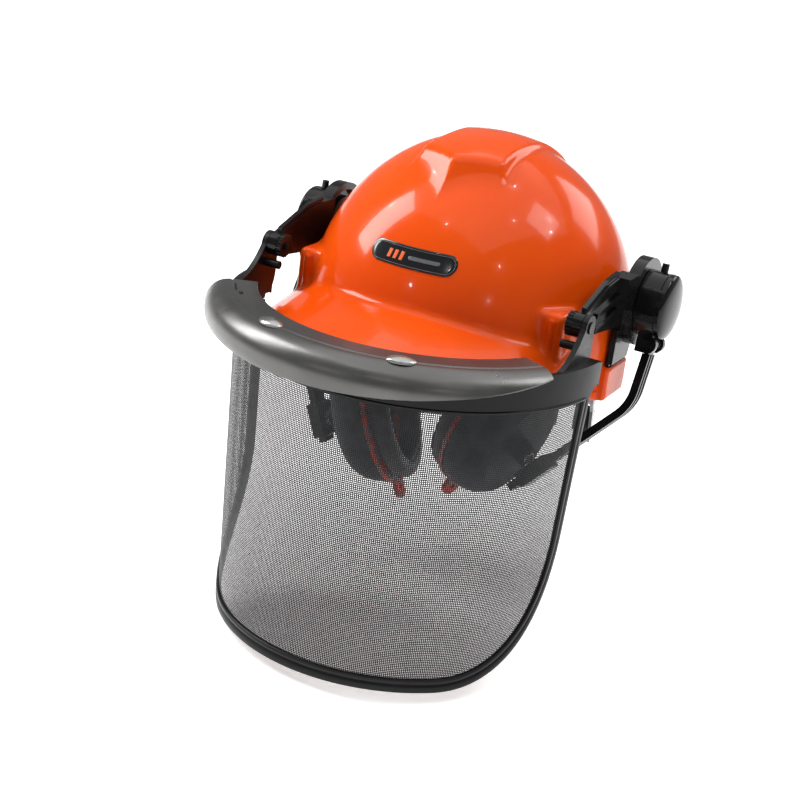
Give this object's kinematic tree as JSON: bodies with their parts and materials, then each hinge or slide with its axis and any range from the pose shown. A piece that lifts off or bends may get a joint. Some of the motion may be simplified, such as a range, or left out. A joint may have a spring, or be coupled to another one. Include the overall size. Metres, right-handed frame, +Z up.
{
  "type": "forestry helmet",
  "caption": "Hard safety helmet with a crown ridge, a silver brow guard over a fold-up curved mesh visor, and swing-arm ear muffs on side hubs.",
  "frame": {"origin": "centre of the head opening at the height of the shell's side rim", "axes": "+Z up, the helmet faces -Y, +X is the wearer's left"},
  "size_m": [0.2877, 0.3675, 0.33],
  "materials": {
    "shell_orange": "polished orange ABS",
    "badge_black": "glossy black film",
    "band_plastic": "moulded black nylon",
    "sweat_fabric": "brushed knit over foam",
    "strap_webbing": "woven webbing",
    "hub_black": "moulded black nylon, semi-gloss",
    "fastener_steel": "zinc plated",
    "cup_charcoal": "finely textured",
    "ring_red": "moulded, satin",
    "cushion_skin": "soft vinyl skin",
    "foam": "open-cell foam",
    "visor_black": "satin black",
    "trim_black": "smooth extrusion",
    "guard_silver": "satin anodised",
    "mesh_steel": "woven wire, light grey"
  },
  "bodies": {
    "helmet": {"shell": "shell_orange", "front_badge": "badge_black", "headband": "band_plastic", "sweatband": "sweat_fabric", "headband_tabs": "band_plastic", "rear_band": "band_plastic", "band_rivets": "band_plastic", "cradle_strap_across": "strap_webbing", "cradle_strap_along": "strap_webbing", "cradle_keys": "band_plastic", "crown_pad": "sweat_fabric", "ratchet_housing": "band_plastic", "adapter_left": "hub_black", "adapter_right": "hub_black", "hub_axle_left": "fastener_steel", "hub_axle_right": "fastener_steel"},
    "visor_arms": {"visor_arm_left": "hub_black", "visor_arm_right": "hub_black"},
    "visor": {"visor_band": "visor_black", "brow_guard": "guard_silver", "guard_studs": "fastener_steel", "visor_mesh": "mesh_steel", "visor_trim": "trim_black", "mesh_clamp": "visor_black", "elbow_pins": "visor_black", "fold_pegs": "visor_black"},
    "ratchet": {"ratchet_knob": "band_plastic", "ratchet_pinion": "band_plastic"},
    "strap_left": {"strap_tail_left": "band_plastic"},
    "strap_right": {"strap_tail_right": "band_plastic"},
    "muff_hub_left": {"muff_hub_left": "hub_black", "hub_cap_left": "hub_black", "hub_washer_left": "fastener_steel", "arm_pin_left": "hub_black", "arm_springs_left": "fastener_steel"},
    "muff_arm_left": {"muff_arm_left": "hub_black"},
    "cup_slider_left": {"cup_slider_left": "hub_black", "ball_stud_left": "fastener_steel"},
    "ear_cup_left": {"cup_shell_left": "cup_charcoal", "cup_ring_left": "ring_red", "ear_cushion_left": "cushion_skin", "cup_foam_left": "foam"},
    "muff_hub_right": {"muff_hub_right": "hub_black", "hub_cap_right": "hub_black", "hub_washer_right": "fastener_steel", "arm_pin_right": "hub_black", "arm_springs_right": "fastener_steel"},
    "muff_arm_right": {"muff_arm_right": "hub_black"},
    "cup_slider_right": {"cup_slider_right": "hub_black", "ball_stud_right": "fastener_steel"},
    "ear_cup_right": {"cup_shell_right": "cup_charcoal", "cup_ring_right": "ring_red", "ear_cushion_right": "cushion_skin", "cup_foam_right": "foam"}
  },
  "joints": [
    {"name": "visor_lift", "type": "hinge", "parent": "helmet", "child": "visor_arms", "pos_m": [0, 0.01, 0.043], "axis": [-1, 0, 0], "range_deg": [0, 95]},
    {"name": "visor_fold", "type": "hinge", "parent": "visor_arms", "child": "visor", "pos_m": [0, -0.084, 0.045], "axis": [-1, 0, 0], "range_deg": [0, 80]},
    {"name": "muff_turn_left", "type": "hinge", "parent": "helmet", "child": "muff_hub_left", "pos_m": [0.129, 0.01, 0.043], "axis": [1, 0, 0], "range_deg": [-8, 8]},
    {"name": "muff_swing_left", "type": "hinge", "parent": "muff_hub_left", "child": "muff_arm_left", "pos_m": [0.133, 0.00467, 0.01704], "axis": [0, -0.9796, 0.2011], "range_deg": [0, 50]},
    {"name": "cup_slide_left", "type": "slide", "parent": "muff_arm_left", "child": "cup_slider_left", "axis": [0.6646, 0.1502, 0.732], "range_m": [-0.008, 0.01]},
    {"name": "cup_tilt_left", "type": "hinge", "parent": "cup_slider_left", "child": "ear_cup_left", "pos_m": [0.06601, -0.01509, -0.07925], "axis": [0.2724, 0.9465, -0.173], "range_deg": [-6, 6]},
    {"name": "muff_turn_right", "type": "hinge", "parent": "helmet", "child": "muff_hub_right", "pos_m": [-0.129, 0.01, 0.043], "axis": [1, 0, 0], "range_deg": [-8, 2]},
    {"name": "muff_swing_right", "type": "hinge", "parent": "muff_hub_right", "child": "muff_arm_right", "pos_m": [-0.133, 0.00884, 0.01653], "axis": [0, 0.999, -0.0436], "range_deg": [-2, 35]},
    {"name": "cup_slide_right", "type": "slide", "parent": "muff_arm_right", "child": "cup_slider_right", "axis": [-0.4011, 0.04, 0.9151], "range_m": [-0.004, 0.003]},
    {"name": "cup_tilt_right", "type": "hinge", "parent": "cup_slider_right", "child": "ear_cup_right", "pos_m": [-0.09766, 0.00366, -0.10213], "axis": [-0.1751, 0.9841, -0.0295], "range_deg": [-6, 6]},
    {"name": "ratchet_turn", "type": "hinge", "parent": "helmet", "child": "ratchet", "pos_m": [0, 0.1415, -0.095], "axis": [0, -1, 0], "range_deg": [0, 76]},
    {"name": "strap_draw_left", "type": "slide", "parent": "helmet", "child": "strap_left", "axis": [-1, 0, 0], "range_m": [-0.0002, 0.0101]},
    {"name": "strap_draw_right", "type": "slide", "parent": "helmet", "child": "strap_right", "axis": [1, 0, 0], "range_m": [-0.0002, 0.0101]}
  ],
  "couplings": [
    {"joint": "strap_draw_left", "follows": "ratchet_turn", "m_per_rad": 0.0075},
    {"joint": "strap_draw_right", "follows": "ratchet_turn", "m_per_rad": 0.0075}
  ]
}
